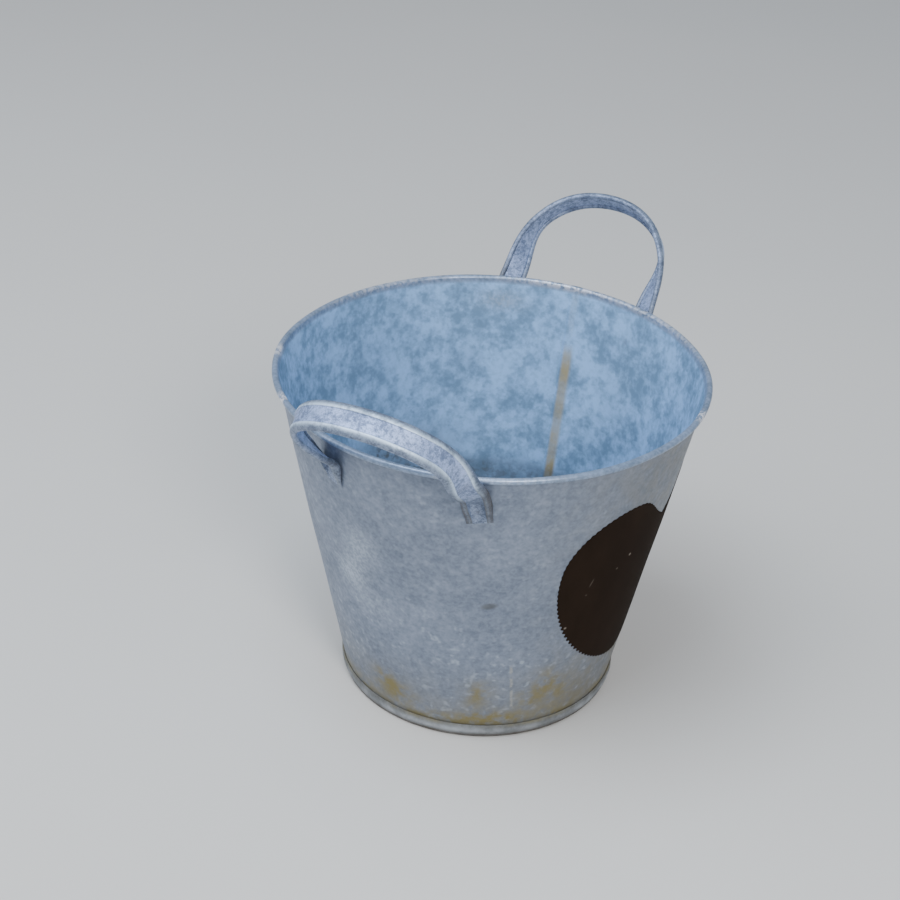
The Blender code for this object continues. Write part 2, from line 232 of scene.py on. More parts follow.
# ------------------------------------------------------------------ finishes
class Graph:
    """Short ways to add nodes to one material."""

    def __init__(self, name: str) -> None:
        """Start a material with its Principled shader."""
        self.material = bpy.data.materials.new(name)
        self.material.use_nodes = True
        self.tree = self.material.node_tree
        self.shader = self.tree.nodes["Principled BSDF"]
        self.place = self.tree.nodes.new("ShaderNodeTexCoord").outputs["Object"]

    def put(self, kind: str, inputs: Dict[object, object], **settings: object) -> bpy.types.Node:
        """Add a node.

        Args:
            kind: Type of node.
            inputs: Value or socket for each named or numbered input.
            settings: Properties of the node.

        Returns:
            The node.
        """
        node = self.tree.nodes.new(kind)
        for key, value in settings.items():
            setattr(node, key, value)
        for key, value in inputs.items():
            self.feed(node.inputs[key], value)
        return node

    def feed(self, target: Socket, value: object) -> None:
        """Link a socket to an input, or set the input to a plain value."""
        if isinstance(value, bpy.types.NodeSocket):
            self.tree.links.new(value, target)
        elif isinstance(value, tuple) and target.type == "RGBA":
            target.default_value = (*value, 1.0)
        else:
            target.default_value = value

    def mark(self, name: str) -> Socket:
        """Read a value stored on the piece's points."""
        return self.put("ShaderNodeAttribute", {}, attribute_name=name).outputs["Fac"]

    def noise(self, scale: float, detail: float = 3.0, rough: float = 0.55,
              where: Optional[Socket] = None) -> Socket:
        """Cloudy noise between 0 and 1, with its scale in waves per metre."""
        inputs = {"Vector": where or self.place, "Scale": scale, "Detail": detail, "Roughness": rough}
        return self.put("ShaderNodeTexNoise", inputs).outputs["Fac"]

    def cloud(self, scale: float, detail: float, rough: float, low: float, high: float) -> Socket:
        """Cloudy noise whose values from low to high are carried over to 0 to 1."""
        return self.span(self.noise(scale, detail, rough), low, high)

    def cells(self, scale: float) -> Socket:
        """A random grey for each crystal-like cell, with its scale in cells per metre."""
        node = self.put("ShaderNodeTexVoronoi", {"Vector": self.place, "Scale": scale})
        split = self.put("ShaderNodeSeparateColor", {"Color": node.outputs["Color"]})
        return split.outputs[0]

    def stretched(self, scale: Tuple[float, float, float]) -> Socket:
        """Object coordinates multiplied along each axis."""
        return self.put("ShaderNodeMapping", {"Vector": self.place, "Scale": scale}).outputs[0]

    def math(self, kind: str, first: object, second: object = 0.0) -> Socket:
        """One arithmetic step, clamped between 0 and 1."""
        node = self.put("ShaderNodeMath", {0: first, 1: second}, operation=kind)
        node.use_clamp = True
        return node.outputs[0]

    def free(self, kind: str, first: object, second: object = 0.0) -> Socket:
        """One arithmetic step, not clamped."""
        return self.put("ShaderNodeMath", {0: first, 1: second}, operation=kind).outputs[0]

    def weighted(self, *terms: Tuple[Socket, float]) -> Socket:
        """Sum of values times their weights, clamped between 0 and 1."""
        total: object = 0.0
        for value, weight in terms:
            total = self.math("ADD", total, self.math("MULTIPLY", value, weight))
        return total

    def length(self, side: Socket, rise: Socket) -> Socket:
        """Length of a flat vector: the root of the sum of both squares."""
        squares = (self.free("MULTIPLY", side, side), self.free("MULTIPLY", rise, rise))
        return self.free("SQRT", self.free("ADD", *squares))

    def span(self, value: Socket, low: float, high: float, to_low: float = 0.0,
             to_high: float = 1.0) -> Socket:
        """Carry the range from low to high over to another range, held at its ends."""
        inputs = {0: value, 1: low, 2: high, 3: to_low, 4: to_high}
        return self.put("ShaderNodeMapRange", inputs, interpolation_type="SMOOTHSTEP").outputs[0]

    def mix(self, share: object, first: object, second: object) -> Socket:
        """Blend two colours."""
        node = self.put("ShaderNodeMix", {}, data_type="RGBA")
        self.feed(node.inputs[0], share)
        self.feed(node.inputs[6], first)
        self.feed(node.inputs[7], second)
        return node.outputs[2]

    def stain(self, colour: Socket, name: str, spread: Socket, tone: Colour) -> Socket:
        """Lay a tone over a colour, as much as a stored mark times a spread says."""
        return self.mix(self.math("MULTIPLY", self.mark(name), spread), colour, tone)

    def shade(self, **inputs: object) -> None:
        """Set inputs of the shader, with underscores in their names for spaces."""
        for key, value in inputs.items():
            self.feed(self.shader.inputs[key.replace("_", " ")], value)

    def bump(self, height: Socket, depth: float, strength: float) -> None:
        """Rough the surface up by a height of up to the given depth in metres."""
        node = self.put("ShaderNodeBump", {"Height": height, "Distance": depth, "Strength": strength})
        self.tree.links.new(node.outputs[0], self.shader.inputs["Normal"])


@dataclass(frozen=True)
class WallZinc:
    """Dull galvanised sheet: fine spangle, cloudy bloom, stains at the foot, a brighter, bluer inside that is
    painted light, a painted shadow of the front handle inside, painted highlights on the rim and a painted
    wood reflection on the right.
    """

    outside_dark: Colour = (0.128, 0.158, 0.215)
    outside_light: Colour = (0.285, 0.332, 0.425)
    # The inside's brighter, bluer tones are painted blue light inside the bucket, not a different zinc.
    inside_blue_lit_dark: Colour = (0.150, 0.265, 0.410)
    inside_blue_lit_light: Colour = (0.335, 0.570, 0.920)
    rim_dark: Colour = (0.150, 0.205, 0.290)
    rim_light: Colour = (0.305, 0.395, 0.560)
    # Chipped is near-white: real chips, and painted highlights where the rim catches the light.
    chipped: Colour = (0.860, 0.850, 0.900)
    drip_tone: Colour = (0.430, 0.420, 0.370)
    speck: Colour = (0.460, 0.525, 0.620)
    # Warm brown-grey: a painted reflection of wood on the right side, and earth low on the wall.
    earth_and_reflection: Colour = (0.185, 0.172, 0.135)
    lime: Colour = (0.215, 0.178, 0.070)
    rust: Colour = (0.380, 0.300, 0.130)
    # Dark brown-grey for soot and dark joints, also used as the painted shadow of the front handle inside.
    soot_and_shade: Colour = (0.082, 0.080, 0.070)
    metal_outside: float = 0.45
    metal_inside: float = 0.20
    roughness: Tuple[float, float] = (0.62, 0.48)
    rim_polish: float = 0.18
    smudge_at: Tuple[float, float] = (math.radians(-62.9), 0.1110)
    smudge_size: Tuple[float, float] = (0.0052, 0.0028)
    smudge_radius: float = 0.1057
    smudge_tilt: float = 0.18
    drip_turn: float = math.radians(-52.4)
    drip_tilt: float = math.radians(-2.5) / 0.0405
    drip_span: Tuple[float, float] = (0.0225, 0.0650)

    def make(self) -> bpy.types.Material:
        """Build the finish.

        The outside's tone is a random grey per crystal 3 mm wide, with soft noises 2, 4,
        12 and 55 mm wide. The inside's is softer, with noises 4, 11 and 30 mm wide, in
        brighter, bluer tones that are painted light. The marks stored on the sheet bring in
        lime, rust, soot with a painted shadow inside, bloom, earth with a painted wood
        reflection, and chips with painted highlights on the rim.

        Returns:
            The material.
        """
        g = Graph("galvanised_sheet")
        crystal = g.cells(360.0)
        grain = g.cloud(520.0, 1.0, 0.5, 0.30, 0.70)
        patch = g.cloud(240.0, 2.0, 0.5, 0.32, 0.68)
        bloom = g.cloud(85.0, 4.0, 0.6, 0.28, 0.72)
        wide = g.cloud(18.0, 2.0, 0.5, 0.30, 0.70)
        tone = g.weighted((crystal, 0.10), (grain, 0.20), (patch, 0.24), (bloom, 0.26), (wide, 0.20))
        outside = g.mix(tone, self.outside_dark, self.outside_light)
        specks = g.math("MULTIPLY", g.cloud(230.0, 1.0, 0.5, 0.55, 0.76), g.span(wide, 0.2, 0.9, 0.4, 1.0))
        outside = g.stain(outside, "spotty", specks, self.speck)
        blotch = g.cloud(92.0, 3.0, 0.55, 0.32, 0.68)
        haze = g.cloud(33.0, 2.0, 0.5, 0.34, 0.66)
        soft = g.weighted((patch, 0.26), (blotch, 0.34), (haze, 0.30), (grain, 0.10))
        # Painted light: the inside's tones are brighter and bluer than the outside's.
        inside = g.mix(g.span(soft, 0.10, 0.90), self.inside_blue_lit_dark, self.inside_blue_lit_light)
        colour = g.mix(g.mark("inside"), outside, inside)
        # Painted wood reflection on the right side, with earth low down.
        colour = g.stain(colour, "earth_and_reflection", g.span(bloom, 0.0, 1.0, 0.5, 1.0), self.earth_and_reflection)
        colour = g.stain(colour, "lime", g.cloud(120.0, 4.0, 0.6, 0.30, 0.62), self.lime)
        colour = g.stain(colour, "rust", g.span(patch, 0.0, 1.0, 0.8, 1.0), self.rust)
        # Soot and dark joints, a darkening low inside, and the painted shadow of the front handle inside.
        colour = g.stain(colour, "soot_and_shade", g.span(patch, 0.0, 1.0, 0.6, 1.0), self.soot_and_shade)
        # Paler patches on the left flank and inside, lighter than the zinc around them.
        colour = g.stain(colour, "bloom", g.span(grain, 0.0, 1.0, 0.5, 1.0), self.speck)
        turn, height = self.around(g)
        colour = g.mix(self.drip(g, turn, height), colour, self.drip_tone)
        colour = g.mix(self.smudge(g, turn, height), colour, self.soot_and_shade)
        rim = g.mix(g.weighted((bloom, 0.55), (grain, 0.45)), self.rim_dark, self.rim_light)
        # Near-white rim spots: chips, and painted highlights where the rim catches the light.
        rim = g.stain(rim, "chipped", g.cloud(420.0, 2.0, 0.5, 0.36, 0.60), self.chipped)
        colour = g.mix(g.mark("rim"), colour, rim)
        polish = g.math("MULTIPLY", g.mark("rim"), self.rim_polish)
        roughness = g.math("SUBTRACT", g.span(tone, 0.0, 1.0, *self.roughness), polish)
        metallic = g.span(g.mark("inside"), 0.0, 1.0, self.metal_outside, self.metal_inside)
        g.shade(Base_Color=colour, Roughness=roughness, Metallic=metallic)
        g.bump(g.weighted((crystal, 0.25), (patch, 0.35), (bloom, 0.40)), 0.00012, 0.22)
        return g.material

    def around(self, g: Graph) -> Tuple[Socket, Socket]:
        """Azimuth and height of the shaded point, from its object coordinates."""
        split = g.put("ShaderNodeSeparateXYZ", {"Vector": g.place})
        return g.free("ARCTAN2", split.outputs[1], split.outputs[0]), split.outputs[2]

    def drip(self, g: Graph, turn: Socket, height: Socket) -> Socket:
        """A dotted dried drip: a thin slanting line down the wall, broken up by noise.

        Args:
            g: The material's graph.
            turn: Azimuth of the shaded point.
            height: Height of the shaded point.

        Returns:
            How much of the drip is there, from 0 to 1.
        """
        slant = g.free("MULTIPLY", g.free("SUBTRACT", height, sum(self.drip_span) / 2), self.drip_tilt)
        beside = g.free("SUBTRACT", g.free("SUBTRACT", turn, slant), self.drip_turn)
        across = g.free("ABSOLUTE", beside)
        line = g.span(across, 0.002, 0.016, 1.0, 0.0)
        low, high = self.drip_span
        foot = g.span(height, low, low + 0.004)
        ends = g.math("MULTIPLY", foot, g.span(height, high - 0.006, high, 1.0, 0.0))
        dots = g.span(g.noise(260.0, 2.0, 0.6), 0.42, 0.60, 0.05, 0.50)
        return g.math("MULTIPLY", g.math("MULTIPLY", line, ends), dots)

    def smudge(self, g: Graph, turn: Socket, height: Socket) -> Socket:
        """A dark thumb mark: an ellipse whose long axis tilts up a little to the right.

        Args:
            g: The material's graph.
            turn: Azimuth of the shaded point.
            height: Height of the shaded point.

        Returns:
            How dark the mark is, from 0 to 1.
        """
        turn_there, height_there = self.smudge_at
        half_width, half_height = self.smudge_size
        side = g.free("MULTIPLY", g.free("SUBTRACT", turn, turn_there), self.smudge_radius)
        tilt = g.free("MULTIPLY", side, self.smudge_tilt)
        rise = g.free("SUBTRACT", g.free("SUBTRACT", height, height_there), tilt)
        away = g.length(g.free("DIVIDE", side, half_width), g.free("DIVIDE", rise, half_height))
        return g.span(away, 0.45, 1.25, 0.62, 0.0)


@dataclass(frozen=True)
class PanZinc:
    """The bottom's zinc: as dull as the wall, with a painted highlight along the worn foot bead, and painted
    shade with grime below and inside.
    """

    dark: Colour = (0.105, 0.108, 0.105)
    light: Colour = (0.245, 0.252, 0.255)
    # The next tone is the painted highlight along the foot bead, over its wear.
    rubbed_highlight: Colour = (0.440, 0.470, 0.510)
    # The next tone is painted shade with some grime.
    shade_and_grime: Colour = (0.070, 0.048, 0.026)
    lime: Colour = (0.215, 0.185, 0.090)
    metallic: float = 0.45

    def make(self) -> bpy.types.Material:
        """Build the finish: cells and cloudy noise, with a painted highlight on the worn bead, lime, and
        painted shade with grime from their marks.
        """
        g = Graph("galvanised_bottom")
        crystal = g.cells(420.0)
        grain = g.cloud(640.0, 3.0, 0.6, 0.30, 0.70)
        bloom = g.cloud(60.0, 4.0, 0.6, 0.28, 0.72)
        colour = g.mix(g.weighted((bloom, 0.5), (crystal, 0.2), (grain, 0.3)), self.dark, self.light)
        # Painted highlight along the foot bead's crest, over its wear.
        rub_and_highlight = g.math("MULTIPLY", g.mark("rub_and_highlight"), g.span(bloom, 0.0, 1.0, 0.35, 0.95))
        colour = g.mix(rub_and_highlight, colour, self.rubbed_highlight)
        patchy = g.cloud(90.0, 5.0, 0.65, 0.30, 0.66)
        colour = g.stain(colour, "lime", patchy, self.lime)
        # Painted shade under the foot bead, below and inside, with some grime.
        colour = g.stain(colour, "shade_and_grime", g.span(patchy, 0.0, 1.0, 0.7, 1.0), self.shade_and_grime)
        roughness = g.math("SUBTRACT", g.span(bloom, 0.0, 1.0, 0.62, 0.50), g.math("MULTIPLY", rub_and_highlight, 0.10))
        g.shade(Base_Color=colour, Roughness=roughness, Metallic=self.metallic)
        g.bump(g.weighted((crystal, 0.3), (grain, 0.4), (bloom, 0.3)), 0.00012, 0.35)
        return g.material


@dataclass(frozen=True)
class StrapZinc:
    """The handles' zinc: worn crests with painted highlights, a frosted web between them, painted light on
    the inner face, and painted shade in the folds and on the tabs.
    """

    dark: Colour = (0.085, 0.108, 0.155)
    light: Colour = (0.235, 0.285, 0.375)
    frost_dark: Colour = (0.150, 0.200, 0.330)
    frost_light: Colour = (0.430, 0.550, 0.860)
    # Worn is the painted highlight on the crests, over their wear.
    wear_and_highlight: Colour = (0.640, 0.800, 1.000)
    # Grime is painted shade in the folds, under the strap and on the tabs, with weld marks.
    shade_and_grime: Colour = (0.060, 0.048, 0.036)
    metallic: float = 0.40

    def make(self) -> bpy.types.Material:
        """Build the finish: noises 0.7, 2 and 9 mm wide, and the marks for frost with painted light, wear
        with painted highlights, and grime with painted shade.
        """
        g = Graph("galvanised_strap")
        grain = g.cloud(1300.0, 2.0, 0.6, 0.30, 0.70)
        fine = g.cloud(480.0, 3.0, 0.6, 0.30, 0.70)
        bloom = g.cloud(110.0, 3.0, 0.55, 0.28, 0.72)
        tone = g.span(g.weighted((bloom, 0.34), (fine, 0.38), (grain, 0.28)), 0.14, 0.86)
        colour = g.mix(tone, self.dark, self.light)
        frost_and_light = g.mix(tone, self.frost_dark, self.frost_light)
        # The web's frost, and painted light on the shaded inner face and underside.
        colour = g.mix(g.mark("frost_and_light"), colour, frost_and_light)
        broken = g.span(g.weighted((bloom, 0.6), (fine, 0.4)), 0.05, 0.65, 0.45, 1.0)
        # Painted highlight on the worn crests.
        wear_and_highlight = g.math("MULTIPLY", g.mark("wear_and_highlight"), broken)
        colour = g.mix(wear_and_highlight, colour, self.wear_and_highlight)
        # Painted shade in the folds and on the tabs, with weld marks.
        colour = g.stain(colour, "shade_and_grime", g.span(fine, 0.0, 1.0, 0.65, 1.0), self.shade_and_grime)
        roughness = g.math("SUBTRACT", g.span(tone, 0.0, 1.0, 0.60, 0.48), g.math("MULTIPLY", wear_and_highlight, 0.08))
        g.shade(Base_Color=colour, Roughness=roughness, Metallic=self.metallic)
        g.bump(g.weighted((grain, 0.6), (fine, 0.4)), 0.00008, 0.35)
        return g.material


@dataclass(frozen=True)
class Blackboard:
    """Dead matt brown-black coating, with a breath of dust and a few pale chips."""

    coat: Colour = (0.0125, 0.0064, 0.0030)
    dust: Colour = (0.0200, 0.0110, 0.0060)
    chip: Colour = (0.190, 0.160, 0.130)
    roughness: float = 0.92
    specular: float = 0.12
    reach: float = 0.1
    chips: Tuple[Tuple[float, float, float, float, float, float], ...] = (
        (-0.0300, 0.0255, 0.0013, 1.0, 0.0, 1.00), (-0.0388, 0.0185, 0.0011, 1.0, 0.0, 0.35),
        (-0.0565, 0.0133, 0.0007, 6.0, 0.2, 0.30), (-0.0572, 0.0040, 0.0009, 1.0, 0.0, 0.25),
        (-0.0635, -0.0208, 0.0012, 1.0, 0.0, 1.00), (0.0300, 0.0100, 0.0012, 1.0, 0.0, 0.70),
        (0.0520, -0.0180, 0.0010, 1.0, 0.0, 0.50))

    def make(self) -> bpy.types.Material:
        """Build the finish: two noises for the dust, and the chips over it."""
        g = Graph("blackboard_coat")
        smear = g.noise(30.0, 4.0, 0.6, where=g.stretched((1.0, 1.0, 0.35)))
        grain = g.noise(1600.0, 2.0, 0.5)
        dust = g.math("MULTIPLY", g.span(smear, 0.35, 0.75), g.span(grain, 0.3, 0.7, 0.5, 1.0))
        colour = g.mix(self.chipped(g), g.mix(dust, self.coat, self.dust), self.chip)
        g.shade(Base_Color=colour, Roughness=self.roughness, Metallic=0.0, Specular_IOR_Level=self.specular)
        g.bump(grain, 0.00005, 0.4)
        return g.material

    def chipped(self, g: Graph) -> Socket:
        """Chips and a scratch: discs, some of them drawn out along a slant.

        Each chip is (across, up, radius, length over width, slant, strength). A point's
        distance is taken after the slant is undone and the length divided out, in the
        heart's own flat coordinates, which run from 0 to 1 over twice the reach.

        Args:
            g: The material's graph.

        Returns:
            How much of the coat is gone, from 0 to 1.
        """
        across = g.mark("across")
        up = g.mark("up")
        full = 2 * self.reach
        total: object = 0.0
        inner_share = 0.3
        for beside, above, radius, tall, slant, strength in self.chips:
            rise = g.free("SUBTRACT", up, (above + self.reach) / full)
            side = g.free("SUBTRACT", across, (beside + self.reach) / full)
            side = g.free("SUBTRACT", side, g.free("MULTIPLY", rise, slant))
            away = g.length(side, g.free("DIVIDE", rise, tall))
            edge = radius / full
            total = g.math("ADD", total, g.span(away, inner_share * edge, edge, strength, 0.0))
        return total


@dataclass(frozen=True)
class DrawnWire:
    """Plain steel wire with fine streaks along its length."""

    dark: Colour = (0.240, 0.250, 0.270)
    light: Colour = (0.450, 0.465, 0.490)

    def make(self) -> bpy.types.Material:
        """Build the finish: one noise between two greys."""
        g = Graph("drawn_wire")
        streak = g.noise(500.0, 3.0, 0.6)
        g.shade(Base_Color=g.mix(streak, self.dark, self.light), Roughness=0.42, Metallic=0.9)
        g.bump(streak, 0.00005, 0.3)
        return g.material


@dataclass(frozen=True)
class PaleFloor:
    """Plain pale floor of the studio."""

    pale: Colour = (0.66, 0.64, 0.61)
    paler: Colour = (0.69, 0.67, 0.64)

    def make(self) -> bpy.types.Material:
        """Build the finish: one wide noise between two near whites."""
        g = Graph("pale_floor")
        g.shade(Base_Color=g.mix(g.noise(3.0, 2.0), self.pale, self.paler), Roughness=0.8)
        return g.material


# ------------------------------------------------------------------ the bucket's body
class Side(Enum):
    """The two handles, named by where they are."""

    BACK = "back"
    FRONT = "front"


@dataclass(frozen=True)
class Cone:
    """The middle surface of the tapered body sheet, and the dents in it."""

    height: float = 0.2086
    rim: float = 0.1256
    foot: float = 0.0831
    sheet: float = 0.0005
    weld_height: float = 0.1830
    weld_turns: Tuple[float, ...] = (math.radians(90 - 21.6), math.radians(90 + 21.6),
                                     math.radians(-89.1 - 21.6), math.radians(-89.1 + 21.6))
    dent_at: Tuple[float, float] = (math.radians(-63.2), 0.1106)
    dent_size: Tuple[float, float] = (0.006, 0.0035)
    dent_depth: float = 0.00045

    @property
    def slope(self) -> float:
        """Growth of the radius per metre of height."""
        return (self.rim - self.foot) / self.height

    def radius(self, height: Array) -> Array:
        """Radius of the undented sheet: straight from the foot's to the rim's."""
        return self.foot + self.slope * height

    def welds(self, azimuth: Array, height: Array, size: float) -> Array:
        """Sum of a bell curve at each weld, of the given radius in metres."""
        total = np.zeros(np.broadcast(azimuth, height).shape)
        for turn in self.weld_turns:
            sideways = turn_between(azimuth, turn) * self.rim
            total = total + hump(np.hypot(sideways, height - self.weld_height), size)
        return total

    def ripple(self, azimuth: Array, height: Array) -> Array:
        """How far the sheet stands out from the true cone.

        Three slow waves round the bucket whose phase shifts with the height, plus one
        thumb-sized dent. They die out towards the foot, the rim and the handles' tabs.

        Args:
            azimuth: Angles round the bucket.
            height: Heights above the floor.

        Returns:
            Outward distances in metres.
        """
        waves = 0.00032 * np.sin(3 * azimuth + 1.1 + 14 * height)
        waves = waves + 0.00024 * np.sin(5 * azimuth - 0.6 - 30 * height)
        waves = waves + 0.00012 * np.sin(9 * azimuth + 2.0 + 55 * height) * np.sin(40 * height)
        sideways = turn_between(azimuth, self.dent_at[0]) * self.radius(height)
        dent = hump(sideways, self.dent_size[0]) * hump(height - self.dent_at[1], self.dent_size[1])
        waves = waves - self.dent_depth * dent
        calm = smoothstep((height - 0.012) / 0.03) * smoothstep((0.200 - height) / 0.03)
        tabs = np.clip(self.welds(azimuth, height, 0.028), 0.0, 1.0)
        return waves * calm * (1 - tabs)

    def spot(self, azimuth: Array, height: Array, offset: Array) -> Array:
        """Positions at a distance outside the dented sheet's middle surface."""
        radius = self.radius(height) + self.ripple(azimuth, height) + offset
        shape = np.broadcast(azimuth, height, radius).shape
        rows = (radius * np.cos(azimuth), radius * np.sin(azimuth), height)
        return np.stack([np.broadcast_to(row, shape) for row in rows], axis=-1)


@dataclass
class BucketWall:
    """The body sheet, with its rolled rim bead and its folded side seam."""

    cone: Cone
    bead: float = 0.0019
    bead_turn: float = math.radians(290)
    bottom: float = 0.0013
    lock_turn: float = math.pi / 2
    lock_half: float = 0.0030
    lock_depth: float = 0.0006
    lock_low: float = 0.0130
    lock_high: float = 0.2016
    rust_top: float = 0.1730
    # Height below which the inside darkens towards the bottom.
    darkening_top: float = 0.0925
    columns: int = 500
    seam_columns: int = 41
    rows: int = 66
    curl_points: int = 18

    def azimuths(self) -> Array:
        """Angles of the columns: even, and six times finer across the side seam."""
        reach = math.radians(2.0)
        fine = np.linspace(self.lock_turn - reach, self.lock_turn + reach, self.seam_columns)
        rest = np.linspace(self.lock_turn + reach, self.lock_turn + math.tau - reach, self.columns)[1:-1]
        return np.concatenate([fine, rest])

    def heights(self) -> Array:
        """Heights of the straight wall's rows: even, with more rows over the welds."""
        even = np.linspace(self.bottom, self.cone.height - self.bead, self.rows)
        welds = self.cone.weld_height + np.linspace(-0.006, 0.006, 9)
        return np.unique(np.round(np.concatenate([even[:-1], welds]), 6))

    def profile(self) -> Tuple[Array, Array]:
        """Closed outline of the sheet as (radius, height), and which points are inside.

        The straight wall runs up to the bead, and the bead is an arc round the rim wire
        that starts at the wall, goes over the top and comes back under.
        """
        center_height = self.cone.height - self.bead
        center = (self.cone.radius(center_height) + self.bead - self.cone.sheet / 2, center_height)
        middle = self.bead - self.cone.sheet / 2
        curl = arc(center, (middle, middle), math.pi, math.pi - self.bead_turn, self.curl_points)
        heights = self.heights()
        straight = np.stack([self.cone.radius(heights), heights], axis=1)
        outline = thickened(np.vstack([straight, curl]), self.cone.sheet)
        count = len(straight) + len(curl)
        inside = np.zeros(2 * count)
        inside[:len(straight) + 2] = 1.0
        return outline, inside

    def seam(self, azimuth: Array, height: Array) -> Array:
        """Share of the side seam's full thickness: a flat-topped ridge with short ends."""
        across = turn_between(azimuth, self.lock_turn) * self.cone.radius(height)
        length = smoothstep((height - self.lock_low) / 0.003) * smoothstep((self.lock_high - height) / 0.003)
        return plateau(across, self.lock_half, 0.0016) * length

    def build(self) -> bpy.types.Object:
        """Turn the outline round the axis and shape the sheet.

        A point is the outline's radius plus the dents. Inside, the seam steps inward and
        the welds sink in; outside, one groove runs beside the seam; on the bead, the
        radius swells over the seam and wavers slightly.

        Returns:
            The wall as one closed surface.
        """
        outline, inside = self.profile()
        azimuth = self.azimuths()[None, :]
        radius = outline[:, :1]
        height = outline[:, 1:]
        inner = inside[:, None]
        lip = smoothstep((height - (self.cone.height - 2.2 * self.bead)) / 0.0006)
        across = turn_between(azimuth, self.lock_turn) * self.cone.radius(height)
        grow = self.cone.ripple(azimuth, height) * (1 - lip)
        grow = grow - self.lock_depth * self.seam(azimuth, height) * inner * (1 - lip)
        groove = hump(across - 0.0034, 0.00045) * (1 - inner) * (1 - lip)
        grow = grow - 0.00030 * groove * smoothstep((height - 0.012) / 0.004)
        grow = grow + 0.00028 * self.cone.welds(azimuth, height, 0.0016) * inner
        waver = 0.00018 * np.sin(4 * azimuth + 0.5) + 0.00012 * np.sin(11 * azimuth + 2.2)
        lift = 0.00025 * hump(across - 0.0005, 0.0035) * lip
        grow = grow + waver * lip + lift
        sink = 0.00015 * np.sin(5 * azimuth + 1.9) * lip - 0.00015 * lip
        shape = (len(outline), azimuth.size)
        radius = np.broadcast_to(radius + grow, shape)
        level = np.broadcast_to(height + sink, shape)
        points = np.stack([radius * np.cos(azimuth), radius * np.sin(azimuth), level], axis=-1)
        faces = grid_faces(*shape, True, True)
        marks = self.marks(*(np.broadcast_to(part, shape) for part in (azimuth, height, inner, lip)))
        return new_piece("wall_sheet", points.reshape(-1, 3), [faces], marks)

    def marks(self, azimuth: Array, height: Array, inner: Array, lip: Array) -> Dict[str, Array]:
        """Values on the points that tell the finish where the sheet is worn or stained, and where light and
        shade are painted.

        Each is a sum of bell curves and bands in azimuth and height.

        Args:
            azimuth: Angle of each point.
            height: Height of each point.
            inner: One on the sheet's inner face.
            lip: One on the rim bead.

        Returns:
            Values from 0 to 1 by name.
        """
        outer = 1 - inner
        radius = self.cone.radius(height)

        def blots(*rows: Tuple[float, float, float, float, float]) -> Array:
            """Sum of bell curves, each (azimuth in degrees, height, half width, half height, weight)."""
            total = np.zeros(azimuth.shape)
            for turn_deg, level, wide, tall, weight in rows:
                sideways = turn_between(azimuth, math.radians(turn_deg)) * radius
                total = total + weight * hump(sideways, wide) * hump(height - level, tall)
            return total

        def at_rim(*rows: Tuple[float, float, float]) -> Array:
            """Sum of bell curves round the rim, each (azimuth in degrees, half width, weight)."""
            total = np.zeros(azimuth.shape)
            for turn_deg, wide, weight in rows:
                sideways = turn_between(azimuth, math.radians(turn_deg)) * self.cone.rim
                total = total + weight * hump(sideways, wide)
            return total

        wave = 0.5 + 0.3 * np.sin(5 * azimuth + 0.9) + 0.2 * np.sin(13 * azimuth + 2.0)
        middle = hump(turn_between(azimuth, math.radians(-60)), 0.75)
        lime = smoothstep((0.0235 - height) / 0.010) * (0.20 + 0.65 * middle * wave + 0.20 * wave)
        lime = 1.2 * lime + 0.60 * smoothstep((0.0135 - height) / 0.0025) * (0.5 + 0.5 * wave)
        lime = lime + blots((-98.7, 0.024, 0.014, 0.009, 0.95), (-102.9, 0.033, 0.008, 0.007, 0.80),
                            (-63.9, 0.041, 0.008, 0.008, 0.60), (-65.5, 0.032, 0.007, 0.008, 0.60),
                            (-61.1, 0.0165, 0.013, 0.007, 0.85), (-43.9, 0.029, 0.010, 0.012, 0.85),
                            (-38.0, 0.0435, 0.008, 0.011, 0.80), (-31.0, 0.0305, 0.009, 0.012, 0.75),
                            (140.0, 0.020, 0.020, 0.010, 0.60), (35.0, 0.018, 0.022, 0.008, 0.60))
        across = turn_between(azimuth, self.lock_turn) * radius
        uneven = 0.86 + 0.08 * np.sin(90 * height) + 0.10 * np.sin(300 * height)
        run = smoothstep((self.rust_top - height) / 0.010) * uneven
        thicker = 0.85 + 0.15 * smoothstep((0.100 - height) / 0.03)
        rust = plateau(across + 0.0008, 0.0030, 0.0024) * run * thicker
        above_rust = smoothstep((height - self.rust_top) / 0.010)
        pale = 0.20 * plateau(across + 0.0004, 0.0020, 0.0018) * above_rust
        # The inside darkens towards the bottom, below a set height.
        low_darkening = smoothstep((self.darkening_top - height) / 0.012)
        inside_soot_and_shade = blots((70.3, 0.1855, 0.0016, 0.0022, 0.55), (111.6, 0.1830, 0.0014, 0.0018, 0.20),
                            (118.6, 0.1765, 0.0030, 0.0030, 0.16), (122.2, 0.1545, 0.0070, 0.0090, 0.16))
        inside_soot_and_shade = inside_soot_and_shade + 0.75 * low_darkening
        # Painted shadow of the front handle on the inside wall, with two faint dark patches.
        inside_soot_and_shade = inside_soot_and_shade + blots((155.0, 0.0980, 0.045, 0.015, 0.90),
                                          (165.0, 0.1500, 0.060, 0.040, 0.16),
                                          (68.0, 0.1500, 0.020, 0.040, 0.12))
        outside_soot = 0.40 * smoothstep((0.0120 - height) / 0.0012)
        # Paler patches on the left flank, a little above the middle.
        bloom = blots((-112.1, 0.107, 0.011, 0.010, 0.85), (-104.6, 0.135, 0.014, 0.012, 0.55),
                      (-108.0, 0.120, 0.010, 0.012, 0.40), (-104.0, 0.090, 0.016, 0.010, 0.30))
        inside_bloom = blots((112.2, 0.1935, 0.014, 0.006, 0.45)) + pale
